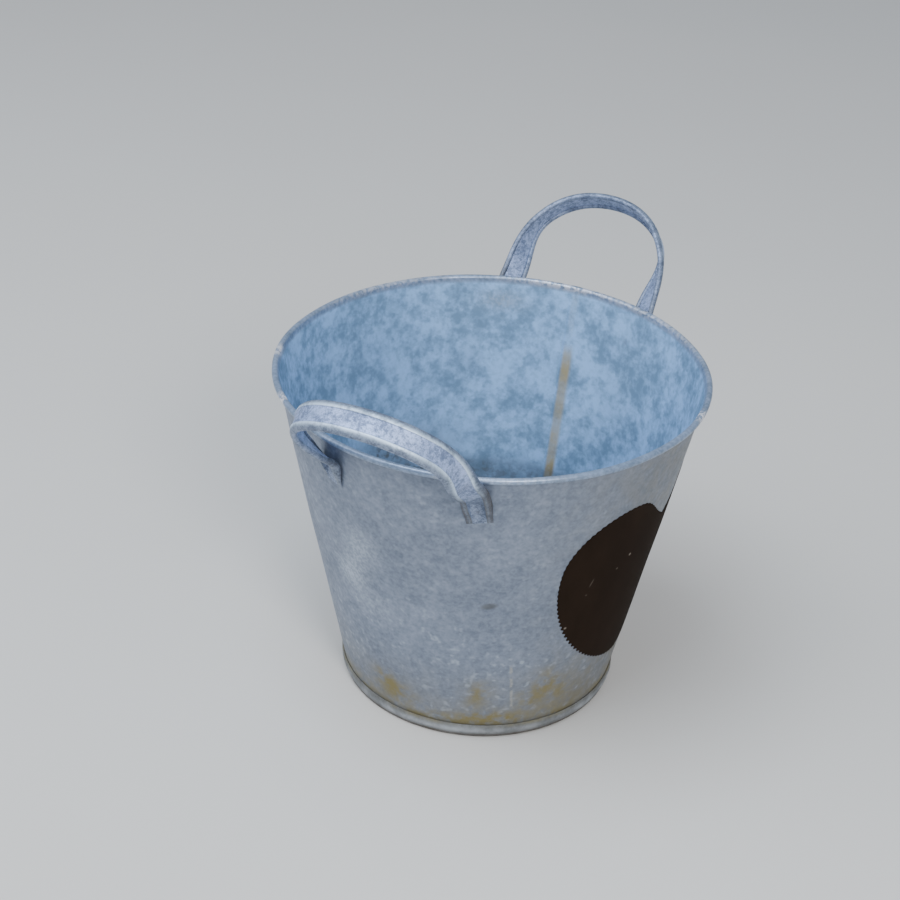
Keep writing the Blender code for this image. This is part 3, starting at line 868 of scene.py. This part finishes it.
        # Near-white spots round the rim: chips, and painted highlights where the rim catches the light.
        chipped = at_rim((-132.5, 0.0040, 1.6), (-159.0, 0.0060, 1.0), (3.0, 0.0042, 3.0),
                         (60.0, 0.050, 0.40), (95.0, 0.030, 0.60), (150.0, 0.040, 0.40),
                         (-75.0, 0.006, 0.70), (-60.0, 0.030, 0.12))
        low = smoothstep((0.120 - height) / 0.080)
        # Painted reflection of wood: a warmer grey on the right side, added to earth low on the wall.
        right = smoothstep(1.65 - 0.95 * np.abs(turn_between(azimuth, math.radians(35))))
        earth_and_reflection = 0.50 * smoothstep((0.075 - height) / 0.065) + 0.65 * right
        rim = np.where(inner > 0.5, smoothstep((height - self.cone.height + 0.0026) / 0.0008), lip)
        return {"inside": inner * (1 - rim), "lime": lime * outer, "rust": rust * inner,
                "soot_and_shade": outside_soot * outer + inside_soot_and_shade * inner,
                "bloom": bloom * outer + inside_bloom * inner,
                "earth_and_reflection": earth_and_reflection * outer, "spotty": (0.30 + 0.35 * low) * outer,
                "rim": rim, "chipped": chipped * rim}

    def dress(self, piece: bpy.types.Object) -> None:
        """Give the wall its zinc."""
        piece.data.materials.append(WallZinc().make())


@dataclass
class BottomPan:
    """The bottom: a raised floor, a skirt inside the wall, and the foot bead round it."""

    cone: Cone
    floor: float = 0.0092
    gap: float = 0.0003
    top: float = 0.0098
    roll: float = 0.0021
    bulge: float = 0.0006
    flat: float = 0.0010
    corner: float = 0.0014
    columns: int = 480

    def profile(self) -> Array:
        """Middle line of the sheet as (radius, height), from the axis to the seam's edge."""
        inside = self.cone.sheet + self.gap
        sheet = self.cone.sheet
        skirt = self.cone.radius(self.floor) - inside
        floor = np.stack([np.linspace(0.0, skirt - self.corner, 26), np.full(26, self.floor)], axis=1)
        bend_center = (skirt - self.corner, self.floor - self.corner)
        bend = arc(bend_center, (self.corner, self.corner), math.pi / 2, 0.0, 8)
        roll_out = self.cone.radius(self.roll) + inside + self.bulge
        center = (roll_out - self.roll + sheet / 2, self.roll)
        reach = self.roll - sheet / 2
        roll = arc(center, (reach, reach), -math.pi / 2, math.radians(10), 12)
        flat_start = (roll[0][0] - self.flat, sheet / 2)
        edge = np.array([self.cone.radius(self.top) + self.cone.sheet + 0.00002, self.top])
        rise = np.linspace(0.0, 1.0, 16)[1:, None]
        belly = 0.00090 * np.sin(math.pi * rise ** 0.8) * np.array([[1.0, 0.0]])
        leg = roll[-1] * (1 - rise) + edge * rise + belly
        foot = (self.cone.radius(sheet) - inside, 0.0012)
        return np.vstack([floor, bend[1:], [foot], [flat_start], roll, leg])

    def build(self) -> bpy.types.Object:
        """Turn the thickened profile round the axis, with one point at each pole.

        The floor sags and rises by a few tenths of a millimetre: one slow wave across it
        and one round it.

        Returns:
            The bottom as one closed surface.
        """
        outline = thickened(self.profile(), self.cone.sheet)
        last = len(outline) - 1
        rings = outline[1:last]
        azimuth = np.linspace(0.0, math.tau, self.columns, endpoint=False)[None, :]
        radius = rings[:, :1]
        height = rings[:, 1:]
        on_floor = smoothstep((0.070 - radius) / 0.03)
        dish = 0.00035 * np.cos(radius * 60 + 0.4) + 0.0002 * np.sin(3 * azimuth + 0.8) * radius / 0.07
        level = height + dish * on_floor
        shape = (len(rings), self.columns)
        rows = (radius * np.cos(azimuth), radius * np.sin(azimuth), level)
        points = np.stack([np.broadcast_to(row, shape) for row in rows], axis=-1).reshape(-1, 3)
        rise = 0.00035 * math.cos(0.4)
        poles = np.array([[0.0, 0.0, outline[0, 1] + rise], [0.0, 0.0, outline[last, 1] + rise]])
        points = np.vstack([points, poles])
        ring = np.arange(self.columns)
        hub = shape[0] * self.columns
        faces = [grid_faces(*shape, False, True), fan_faces(hub, ring),
                 fan_faces(hub + 1, ring + (shape[0] - 1) * self.columns)]
        outer = smoothstep((radius - (self.cone.radius(height) + 0.0002)) / 0.0004)
        # Painted highlight along the middle of the foot bead, with its wear.
        rub_and_highlight = outer * hump(height - 0.0058, 0.0021) * (0.75 + 0.25 * np.sin(4 * azimuth + 1.0))
        # Painted shade on the bead's lowest 2 mm, on the inner faces and underneath, with some grime.
        shade_and_grime = 1 - outer * smoothstep((height - 0.0020) / 0.0018)
        under = smoothstep((0.0075 - height) / 0.001) * (radius < self.cone.foot - 0.001)
        shade_and_grime = shade_and_grime * (0.55 + 0.45 * under)
        lime = outer * smoothstep((height - 0.0070) / 0.0025) * (0.45 + 0.35 * np.sin(7 * azimuth))
        values = {"rub_and_highlight": (rub_and_highlight, 0.0), "shade_and_grime": (shade_and_grime, 0.8), "lime": (lime, 0.0)}
        marks = {label: np.append(np.broadcast_to(value, shape).ravel(), [pole, pole])
                 for label, (value, pole) in values.items()}
        return new_piece("bottom_sheet", points, faces, marks)

    def dress(self, piece: bpy.types.Object) -> None:
        """Give the bottom its zinc."""
        piece.data.materials.append(PanZinc().make())


# ------------------------------------------------------------------ the handles
@dataclass
class StrapHandle:
    """A ribbed strap bent to a loop over the rim, its ends twisted flat on the wall."""

    cone: Cone
    side: Side
    finish: bpy.types.Material
    sheet: float = 0.0008
    tab_end: float = 0.0004
    clear: float = 0.00006
    half: float = 0.0086
    web: float = 0.0041
    crest: float = 0.0048
    height: float = 0.0044
    dip: float = 0.0005
    fold: float = 0.0018
    edge_half: float = 0.0016
    edge_waist: float = 0.0015
    tab_half: float = 0.0074
    ridge_fade: float = 0.0150
    web_fade: Tuple[float, float] = (0.0080, 0.0280)
    tab_drop: float = 0.0334
    tab_flush: float = 0.0180
    leg_spread: float = 0.0449
    tab_spread: float = 0.0486
    standoff: float = 0.0138
    loop_height: float = 0.0583
    loop_half: float = 0.0418
    loop_widest: float = 0.0318
    shoulder: Tuple[float, float] = (0.0238, 0.0525)
    twist_start: float = 0.042
    twist_end: float = 0.107
    stations: int = 401
    leans_deg: Dict[Side, float] = field(default_factory=lambda: {Side.BACK: 47.5, Side.FRONT: 40.5})
    turns_deg: Dict[Side, float] = field(default_factory=lambda: {Side.BACK: 0.0, Side.FRONT: 180.9})

    def route(self) -> Tuple[Array, Array, Array, Array]:
        """Stations along the strap, in axes (sideways, outward, up).

        A natural spline runs up the wall from one tab's end, leans out over the rim,
        goes round the loop and comes down the other side. The strap's outer normal is
        the loop's own outward direction at the top and turns a quarter turn towards the
        wall's outward direction on the way down.

        Returns:
            Points, outer normals, width directions and distances from the nearer end.
        """
        lean = math.radians(self.leans_deg[self.side])
        contact = self.cone.sheet / 2 + self.clear
        height = self.cone.height

        def on_wall(sideways: float, drop: float, away: float) -> Tuple[float, float, float]:
            level = height - drop
            radius = self.cone.radius(level) + contact + away
            turn = sideways / self.cone.rim
            return radius * math.sin(turn), radius * math.cos(turn), level

        reach = math.sqrt(self.cone.rim ** 2 - self.leg_spread ** 2) + self.standoff

        def in_loop(sideways: float, rise: float) -> Tuple[float, float, float]:
            return sideways, reach + rise * math.sin(lean), height + rise * math.cos(lean)

        half = [
            on_wall(self.tab_spread, self.tab_drop, 0.0),
            on_wall((self.tab_spread * 2 + self.leg_spread) / 3, (self.tab_drop + self.tab_flush) / 2, 0.0),
            on_wall((self.tab_spread + self.leg_spread * 2) / 3, self.tab_flush, 0.0002),
            on_wall(self.leg_spread, self.tab_flush * 0.55, self.standoff * 0.33),
            in_loop(self.leg_spread, 0.0),
            in_loop(self.loop_half, self.loop_widest),
            in_loop(*self.shoulder),
        ]
        other = [(-x, y, z) for x, y, z in reversed(half)]
        knots_at = np.array(half + [in_loop(0.0, self.loop_height)] + other)
        knots = np.concatenate([[0.0], np.cumsum(np.linalg.norm(np.diff(knots_at, axis=0), axis=1))])
        fine = natural_spline(knots, knots_at, np.linspace(0.0, knots[-1], 1601))
        length = np.concatenate([[0.0], np.cumsum(np.linalg.norm(np.diff(fine, axis=0), axis=1))])
        even = np.linspace(0.0, length[-1], self.stations)
        points = np.stack([np.interp(even, length, fine[:, axis]) for axis in range(3)], axis=1)
        tangent = unit(np.gradient(points, axis=0))

        inward = np.array([0.0, -math.cos(lean), math.sin(lean)])
        arch = unit(np.cross(tangent, inward))
        arch = arch * np.sign(arch[self.stations // 2, 2])
        lean_back = -self.cone.slope * np.hypot(points[:, 0], points[:, 1])
        flat = np.stack([points[:, 0], points[:, 1], lean_back], axis=1)
        above = smoothstep((points[:, 2] - height + 0.008) / 0.030)[:, None]
        outward = unit(flat) * (1 - above) - inward * above
        outward = unit(outward - (outward * tangent).sum(axis=1, keepdims=True) * tangent)

        from_top = np.abs(even - length[-1] / 2)
        twist = math.pi / 2 * smoothstep((from_top - self.twist_start) / (self.twist_end - self.twist_start))
        normal = np.cos(twist)[:, None] * arch + np.sin(twist)[:, None] * outward
        normal = unit(normal - (normal * tangent).sum(axis=1, keepdims=True) * tangent)
        return points, normal, np.cross(normal, tangent), length[-1] / 2 - from_top

    def section(self, ridge: Array, web: Array) -> Tuple[Array, Dict[str, Array]]:
        """Closed outline of the strap at each station, as (across, out).

        Half the outline starts in the middle of the outer face: the flat web, an eased
        rise to the crest, a quarter ellipse down to the outermost line, half an ellipse
        round the thick edge's underside, and the step up to the web's inner face, which
        lies a sheet and a fold below the outer one. The other half mirrors it.

        Args:
            ridge: Share of the thick edges' full height at each station.
            web: Share of the web's height at each station.

        Returns:
            Outlines as (station, point, 2), and a weight per outline point for the crest,
            the web's outer face, the outer margin, the underside and the inner face.
        """
        ridge = ridge[:, None]
        web = web[:, None]
        sheet = self.tab_end + (self.sheet - self.tab_end) * ridge
        top = sheet + (self.height - sheet) * ridge
        level = sheet + (self.height - self.dip - sheet) * web
        waist = sheet / 2 + (self.edge_waist - sheet / 2) * ridge
        one = np.ones_like(ridge)

        across_web = np.linspace(0.0, 1.0, 10)[None, :-1]
        rise = np.linspace(0.0, 1.0, 9)[None, :-1]
        over = np.linspace(math.pi / 2, 0.0, 19)[None, :]
        under = np.linspace(0.0, -math.pi, 21)[None, 1:]
        step = np.linspace(0.0, 1.0, 6)[None, 1:]
        back = np.linspace(1.0, 0.0, 8)[None, 1:]
        root = (self.half - 2 * self.edge_half + self.crest) / 2
        tuck = self.half - 2 * self.edge_half
        inner_height = waist * np.where(under < -math.pi / 2, ridge * web, 1.0) * (1 + np.sin(under))
        x = [self.web * across_web, self.web + (self.crest - self.web) * rise,
             self.crest + (self.half - self.crest) * np.cos(over),
             self.half - self.edge_half + self.edge_half * np.cos(under),
             tuck + (root - tuck) * step, root * back]
        tuck_height = waist * ridge * web
        inner_level = level - sheet - self.fold * web
        y = [level + 0.0 * across_web, level + (top - level) * smoothstep(rise),
             waist + (top - waist) * np.sin(over), inner_height,
             tuck_height + (inner_level - tuck_height) * step, inner_level + 0.0 * back]
        shrink = (self.tab_half + (self.half - self.tab_half) * ridge) / self.half
        right = np.stack([np.concatenate([one * part for part in x], axis=1) * shrink,
                          np.concatenate([one * part for part in y], axis=1)], axis=2)
        outline = np.concatenate([right, right[:, -2:0:-1] * np.array([-1.0, 1.0])], axis=1)

        none = [np.zeros(part.shape[1]) for part in x]
        weights = {
            "crest": none[:1] + [smoothstep((rise[0] - 0.5) / 0.5),
                                 hump(over[0] - math.pi / 2, 0.42)] + none[3:],
            "face": [np.ones(across_web.shape[1]), 1 - smoothstep((rise[0] - 0.4) / 0.6)] + none[2:],
            "margin": none[:2] + [smoothstep((math.radians(75) - over[0]) / 0.5)] + none[3:],
            "under": none[:2] + [smoothstep((math.radians(22) - over[0]) / 0.5),
                                 np.ones(under.shape[1])] + none[4:],
            "inner": none[:4] + [np.linspace(0.0, 1.0, step.shape[1]), np.ones(back.shape[1])],
        }
        joined = {name: np.concatenate(parts) for name, parts in weights.items()}
        return outline, {name: np.concatenate([row, row[-2:0:-1]]) for name, row in joined.items()}

    def build(self) -> bpy.types.Object:
        """Carry the section along the route and close both ends.

        A point is the station plus across times the width direction plus out times the
        normal. The welds sink the tabs' webs by a bell curve.

        Returns:
            The handle as one closed surface.
        """
        points, normal, width, from_end = self.route()
        low, high = self.web_fade
        ridge = smoothstep(from_end / self.ridge_fade)
        web = smoothstep((from_end - low) / (high - low))
        outline, weights = self.section(ridge, web)
        across = outline[..., 0]
        weld = hump(points[:, 2:] - self.cone.weld_height, 0.0020) * hump(across, 0.0020)
        dimple = 0.00030 * weld * (weights["face"] > 0.5)
        out = outline[..., 1] - dimple
        place = points[:, None, :] + outline[..., :1] * width[:, None, :]
        place = place + out[..., None] * normal[:, None, :]
        turn = np.array(Matrix.Rotation(math.radians(self.turns_deg[self.side]), 3, "Z"))
        place = place @ turn.T
        stations, count = place.shape[:2]
        hubs = np.stack([place[0].mean(axis=0), place[-1].mean(axis=0)])
        total = stations * count
        ring = np.arange(count)
        faces = [grid_faces(stations, count, False, True), fan_faces(total, ring),
                 fan_faces(total + 1, ring + total - count)]
        marks = self.marks(from_end[:, None], weights, weld)
        marks = {name: np.append(values.ravel(), [0.0, 0.0]) for name, values in marks.items()}
        name = f"strap_{self.side.value}"
        return new_piece(name, np.vstack([place.reshape(-1, 3), hubs]), faces, marks, 50.0)

    def marks(self, from_end: Array, weights: Dict[str, Array], weld: Array) -> Dict[str, Array]:
        """Values on the points for frost with painted light, wear with painted highlights, and grime with
        painted shade, which is stronger on the last tab.

        Args:
            from_end: Distance of each station from its nearer end.
            weights: Weight of each outline point for each part of the section.
            weld: Bell curve at each weld.

        Returns:
            Values from 0 to 1 by name.
        """
        upper = smoothstep((from_end - 0.020) / 0.035)
        # Painted highlight along the crests, with their wear, stronger higher up.
        wear_and_highlight = weights["crest"][None, :] * (0.15 + 0.85 * upper)
        # The web's frost, and painted light on the inner face and the underside.
        frost_and_light = weights["face"][None, :] * (0.25 + 0.75 * upper) + 0.10 * weights["margin"][None, :]
        frost_and_light = frost_and_light + 0.85 * weights["inner"][None, :] + 0.35 * weights["under"][None, :] * upper
        along = np.linspace(0.0, 1.0, len(from_end))[:, None]
        # Painted shade is stronger on the tab at one end than at the other.
        shaded_leg = 0.30 + 0.70 * smoothstep((along - 0.4) / 0.2)
        tabs = (1 - smoothstep((from_end - 0.026) / 0.026)) * shaded_leg
        side = np.clip(weights["margin"] + weights["crest"], 0.0, 1.0)[None, :] * tabs
        # Painted shade on the tabs' margins and crests and under the strap, dark weld marks, and a dark band
        # on the face.
        shade_and_grime = 0.78 * side + weights["under"][None, :] * (0.05 + 0.60 * tabs) + 0.35 * weld
        shade_and_grime = shade_and_grime + 0.30 * hump(from_end - 0.050, 0.004) * weights["face"][None, :]
        return {"frost_and_light": frost_and_light, "wear_and_highlight": wear_and_highlight, "shade_and_grime": shade_and_grime}

    def dress(self, piece: bpy.types.Object) -> None:
        """Give the strap the zinc that both handles share."""
        piece.data.materials.append(self.finish)


# ------------------------------------------------------------------ the blackboard heart
@dataclass
class HeartPatch:
    """The thin blackboard heart, cut with a fine wavy edge, on the wall at +X."""

    cone: Cone
    middle: float = 0.1030
    lobe: float = 0.0399
    lobe_offset: float = 0.0393
    lobe_rise: float = 0.0243
    notch_rise: float = 0.0405
    notch_slope: float = 0.70
    side: float = 0.0940
    side_turn: float = math.radians(3.4)
    glue: float = 0.00003
    skin: float = 0.0003
    edge_drop: float = 0.00012
    hub: Tuple[float, float] = (0.0, -0.004)
    rays: int = 1440
    rings: int = 30
    tooth: float = 0.0039
    bite: float = 0.00075

    def outline(self) -> Tuple[Array, Array]:
        """The heart's edge in the plane of the unrolled wall, as (sideways, up).

        Each half is an arc for the lobe, eased into a straight slope down to the notch,
        and a wider arc down to the tip. Evenly spaced along the edge, each point then
        moves along its normal by a wave with one crest per tooth, deepest on the flanks.

        Returns:
            Points round the edge, and the same points without the teeth.
        """
        notch = math.pi - math.acos(self.lobe_offset / self.lobe)
        crown = arc((self.lobe_offset, self.lobe_rise), (self.lobe, self.lobe), notch, -self.side_turn, 240)
        straight = self.notch_rise + self.notch_slope * crown[:, 0]
        crown[:, 1] += (straight - crown[:, 1]) * (1 - smoothstep((crown[:, 0] - 0.006) / 0.030))
        reach = self.side - self.lobe
        center = (self.lobe_offset - reach * math.cos(self.side_turn),
                  self.lobe_rise + reach * math.sin(self.side_turn))
        tip = -math.acos(-center[0] / self.side)
        flank = arc(center, (self.side, self.side), -self.side_turn, tip, 240)
        right = np.vstack([crown, flank[1:]])
        loop = np.vstack([right, right[-2::-1] * np.array([-1.0, 1.0])])
        length = np.concatenate([[0.0], np.cumsum(np.linalg.norm(np.diff(loop, axis=0), axis=1))])
        even = np.linspace(0.0, length[-1], self.rays, endpoint=False)
        plain = np.stack([np.interp(even, length, loop[:, axis]) for axis in range(2)], axis=1)
        along = unit(np.roll(plain, -1, axis=0) - np.roll(plain, 1, axis=0))
        normal = np.stack([-along[:, 1], along[:, 0]], axis=1)
        teeth = round(length[-1] / self.tooth)
        phase = even / length[-1] * math.tau
        swing = np.sin(teeth * phase + 0.8 * np.sin(7 * phase))
        wave = np.sign(swing) * np.abs(swing) ** 0.8 + 0.15 * np.sin(3.0 * teeth * phase + 0.7)
        low = 0.45 + 0.55 * smoothstep((0.030 - plain[:, 1]) / 0.05)
        rough = self.bite * low * (0.75 + 0.25 * np.sin(5 * phase + 0.4))
        return plain + normal * (wave * rough)[:, None], plain

    def wrap(self, flat: Array, offset: float) -> Array:
        """Wrap unrolled points onto the wall.

        Unrolled, the cone is a sector: a point's distance from the sector's centre gives
        its slant, and its angle there, divided by the sine of the taper, its azimuth.

        Args:
            flat: Points as (sideways, up) from the heart's middle.
            offset: Distance outside the sheet's middle surface.

        Returns:
            Positions on the wall, in the same order.
        """
        taper = math.sin(math.atan(self.cone.slope))
        to_middle = self.cone.radius(self.middle) / taper
        slant = np.hypot(flat[..., 0], to_middle + flat[..., 1])
        azimuth = np.arctan2(flat[..., 0], to_middle + flat[..., 1]) / taper
        height = (slant * taper - self.cone.foot) / self.cone.slope
        return self.cone.spot(azimuth, height, offset)

    def build(self) -> bpy.types.Object:
        """Fill the edge with rings that shrink towards the middle, front and back.

        A front point is the share times the edge point; the front's last two rings
        bend down to the back, so that the skin has a rounded edge.

        Returns:
            The heart as one closed thin solid.
        """
        edge, plain = self.outline()
        inner = self.cone.sheet / 2 + self.glue
        outer = inner + self.skin
        hub = np.array(self.hub)
        shares = 0.996 * np.linspace(0.0, 1.0, self.rings + 1)[1:] ** 0.8
        blend = smoothstep((shares - 0.90) / 0.09)[:, None, None]
        ring_edge = plain[None] * (1 - blend) + edge[None] * blend
        front = hub + (ring_edge - hub) * shares[:, None, None]
        rim = edge[None]
        back_shares = np.array([1.0, 0.66, 0.33])[:, None, None]
        back = hub + (edge[None] - hub) * back_shares
        layers = [self.wrap(front, outer), self.wrap(rim, outer - self.edge_drop), self.wrap(back, inner)]
        points = np.concatenate(layers).reshape(-1, 3)
        hubs = np.stack([self.wrap(hub, outer), self.wrap(hub, inner)])
        rows = self.rings + 1 + len(back_shares)
        ring = np.arange(self.rays)
        total = rows * self.rays
        faces = [grid_faces(rows, self.rays, False, True), fan_faces(total, ring),
                 fan_faces(total + 1, ring + total - self.rays)]
        flat = np.concatenate([front, rim, back])
        coat = Blackboard()
        marks = {}
        for label, column in (("across", 0), ("up", 1)):
            values = np.append(flat[..., column].ravel(), [hub[column], hub[column]])
            marks[label] = (values + coat.reach) / (2 * coat.reach)
        return new_piece("heart_patch", np.vstack([points, hubs]), faces, marks)

    def dress(self, piece: bpy.types.Object) -> None:
        """Give the heart its blackboard coating."""
        piece.data.materials.append(Blackboard().make())


# ------------------------------------------------------------------ the studio
@dataclass(frozen=True)
class SoftLight:
    """One square area light that faces the bucket's middle."""

    name: str
    direction: Tuple[float, float, float]
    distance: float
    size: float
    power: float
    colour: Colour

    def build(self, target: Vector) -> None:
        """Place the light at its distance along its direction from the target."""
        data = bpy.data.lights.new(self.name, "AREA")
        data.size = self.size
        data.energy = self.power
        data.color = self.colour
        lamp = bpy.data.objects.new(self.name, data)
        lamp.location = target + Vector(self.direction).normalized() * self.distance
        lamp.rotation_euler = (target - lamp.location).to_track_quat("-Z", "Y").to_euler()
        bpy.context.scene.collection.objects.link(lamp)


@dataclass
class Studio:
    """Pale floor, soft light and the camera."""

    eye: Tuple[float, float, float] = (0.37995, -0.85294, 0.69576)
    ahead: Tuple[float, float, float] = (-0.37034, 0.77994, -0.50454)
    roll: float = math.radians(2.488)
    lens: float = 71.78
    floor_size: float = 12.0
    middle: Tuple[float, float, float] = (0.0, 0.0, 0.12)
    sky: Tuple[float, float, float, float] = (0.80, 0.88, 1.0, 1.0)
    sky_strength: float = 0.50
    lights: Tuple[SoftLight, ...] = (
        SoftLight("key", (0.98, -1.06, 1.02), 1.9, 0.5, 20.0, (1.0, 0.985, 0.97)),
        SoftLight("fill", (-0.9, -0.7, 0.9), 2.4, 2.0, 24.0, (0.92, 0.94, 1.0)),
        SoftLight("top", (-0.12, -0.30, 1.0), 2.0, 1.2, 30.0, (0.78, 0.89, 1.0)),
    )

    def build(self) -> None:
        """Build the floor, the lights, the sky and the camera."""
        self.build_floor()
        for light in self.lights:
            light.build(Vector(self.middle))
        world = bpy.data.worlds.new("studio")
        world.use_nodes = True
        sky = world.node_tree.nodes["Background"]
        sky.inputs["Color"].default_value = self.sky
        sky.inputs["Strength"].default_value = self.sky_strength
        bpy.context.scene.world = world
        self.build_camera()

    def build_floor(self) -> None:
        """Lay the floor: a square sheet at z = 0."""
        half = self.floor_size / 2
        corners = [(-half, -half, 0.0), (half, -half, 0.0), (half, half, 0.0), (-half, half, 0.0)]
        mesh = bpy.data.meshes.new("floor")
        mesh.from_pydata(corners, [], [(0, 1, 2, 3)])
        floor = bpy.data.objects.new("floor", mesh)
        bpy.context.scene.collection.objects.link(floor)
        floor.data.materials.append(PaleFloor().make())

    def build_camera(self) -> None:
        """Set up the camera: look along ahead, then roll about that direction."""
        data = bpy.data.cameras.new("camera")
        data.lens = self.lens
        data.sensor_width = 36.0
        data.clip_start = 0.01
        data.clip_end = 100.0
        camera = bpy.data.objects.new("camera", data)
        aim = Vector(self.ahead).to_track_quat("-Z", "Y").to_matrix().to_4x4()
        spin = Matrix.Rotation(self.roll, 4, "Z")
        camera.matrix_world = Matrix.Translation(self.eye) @ aim @ spin
        bpy.context.scene.collection.objects.link(camera)
        bpy.context.scene.camera = camera


def dress_hidden_wire() -> None:
    """Give the rim wire, which stays as the CAD made it, its own finish."""
    wire = bpy.data.objects["rim_wire"]
    wire.data.materials.clear()
    wire.data.materials.append(DrawnWire().make())


def main() -> None:
    """Build every piece of the bucket, then the studio."""
    logging.basicConfig(level=logging.INFO, format="%(name)s %(message)s")
    cone = Cone()
    strap_zinc = StrapZinc().make()
    makers = [(BucketWall(cone), "bucket_wall", "wall_zinc"), (BottomPan(cone), "bottom_pan", "pan_zinc")]
    makers += [(StrapHandle(cone, side, strap_zinc), f"handle_{side.value}", "strap_zinc") for side in Side]
    makers.append((HeartPatch(cone), "blackboard_heart", "blackboard"))
    for maker, node, slot in makers:
        piece = maker.build()
        maker.dress(piece)
        hand_over(piece, node)
    dress_hidden_wire()
    Studio().build()


if __name__ == "__main__":
    main()
